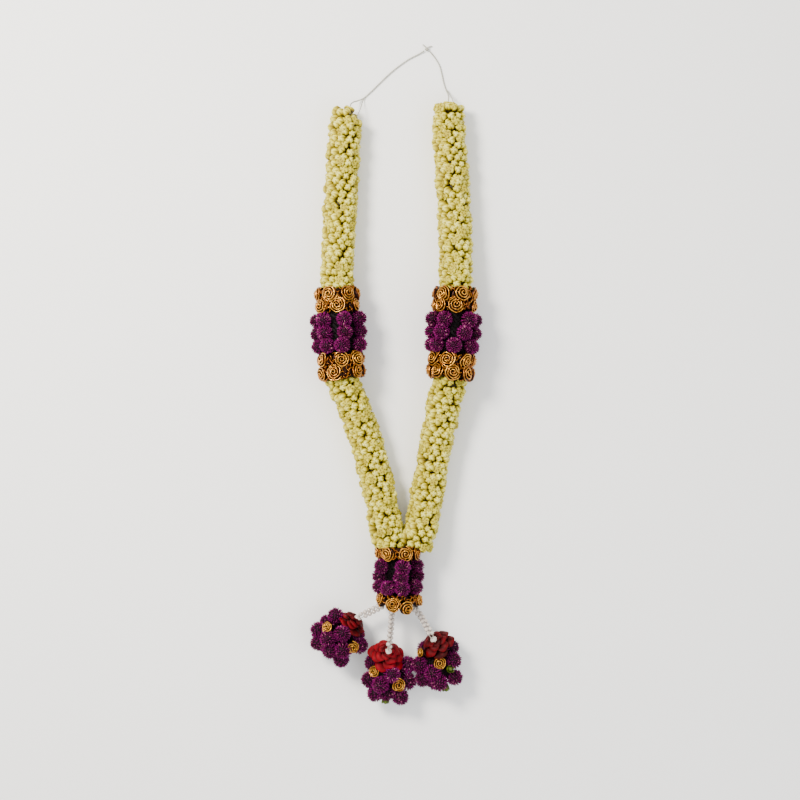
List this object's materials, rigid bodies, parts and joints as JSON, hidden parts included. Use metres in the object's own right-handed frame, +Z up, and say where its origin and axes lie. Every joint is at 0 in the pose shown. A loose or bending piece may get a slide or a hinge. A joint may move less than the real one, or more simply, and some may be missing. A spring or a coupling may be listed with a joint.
{
  "type": "jasmine garland",
  "caption": "Garland of tied jasmine buds with amaranth and gold ribbon collars, a pendant, pearl strands and rose bunches, laid flat.",
  "frame": {"origin": "on the floor that the garland lies on, under the middle of its box without the neck threads", "axes": "+Y from the bunches to the neck threads, +X to the right as the garland is seen from above, +Z up from the floor to the face that is seen"},
  "size_m": [0.2479, 0.9481, 0.0783],
  "materials": {
    "jasmine": "soft matt petals",
    "cord": "rough spun fibre",
    "thread": "matt twisted cotton",
    "gold": "metallic ribbon with a satin sheen",
    "amaranth": "dry papery bracts",
    "rose": "velvety petals",
    "pearl": "pearly gloss",
    "grey_bead": "gloss",
    "green": "waxy leaf"
  },
  "bodies": {
    "root": {"jasmine_rope_upper_left": "jasmine", "jasmine_rope_lower_left": "jasmine", "core_cord_left": "cord", "collar_left_gold_top": "gold", "collar_left_amaranth": "amaranth", "collar_left_gold_bottom": "gold", "neck_thread_left": "thread", "jasmine_rope_upper_right": "jasmine", "jasmine_rope_lower_right": "jasmine", "core_cord_right": "cord", "collar_right_gold_top": "gold", "collar_right_amaranth": "amaranth", "collar_right_gold_bottom": "gold", "neck_thread_right": "thread", "neck_knot": "thread", "pendant_gold_top": "gold", "pendant_amaranth": "amaranth", "pendant_gold_bottom": "gold", "rose_left": "rose", "end_bead_left": "pearl", "amaranth_left": "amaranth", "gold_rosette_left_1": "gold", "pearl_row_left_1": "pearl", "gold_rosette_left_2": "gold", "pearl_row_left_2": "pearl", "rose_middle": "rose", "end_bead_middle": "pearl", "amaranth_middle": "amaranth", "gold_rosette_middle_1": "gold", "pearl_row_middle_1": "pearl", "gold_rosette_middle_2": "gold", "pearl_row_middle_2": "pearl", "rose_right": "rose", "end_bead_right": "pearl", "amaranth_right": "amaranth", "gold_rosette_right_1": "gold", "pearl_row_right_1": "pearl", "gold_rosette_right_2": "gold", "pearl_row_right_2": "pearl", "grey_bead_right": "grey_bead", "calyx_middle_1": "green", "calyx_right_1": "green", "calyx_right_2": "green"}
  },
  "joints": []
}
